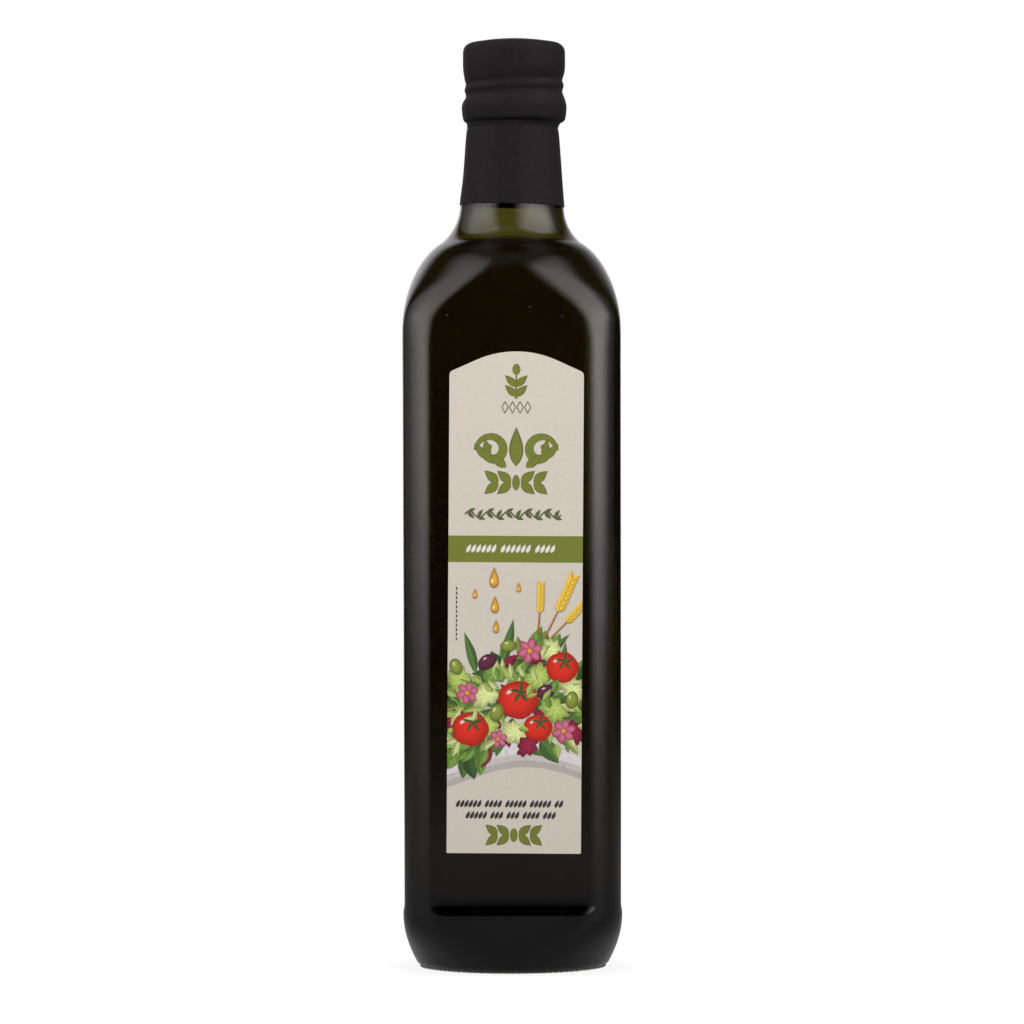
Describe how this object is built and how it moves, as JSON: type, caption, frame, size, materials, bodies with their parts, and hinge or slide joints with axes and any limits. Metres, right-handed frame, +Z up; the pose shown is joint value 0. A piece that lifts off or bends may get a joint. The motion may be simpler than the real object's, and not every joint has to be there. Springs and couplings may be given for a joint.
{
  "type": "olive oil bottle",
  "caption": "Square dark green glass bottle of olive oil with a round neck, a black shrink capsule over its stopper and an arched paper label.",
  "frame": {"origin": "centre of the base, on the surface that the bottle stands on", "axes": "+Z up along the bottle to its mouth, -Y out of the face with the label, +X to the label's right"},
  "size_m": [0.0676, 0.0679, 0.2896],
  "materials": {
    "green_glass": "dark olive green bottle glass, fire polished",
    "olive_oil": "clear golden green liquid, nearly black through the glass",
    "black_film": "matt black shrink film with fine wrinkles",
    "label_paper": "uncoated cream paper, printed"
  },
  "bodies": {
    "root": {"glass_bottle": "green_glass", "oil": "olive_oil", "capsule": "black_film", "front_label": "label_paper"}
  },
  "joints": []
}
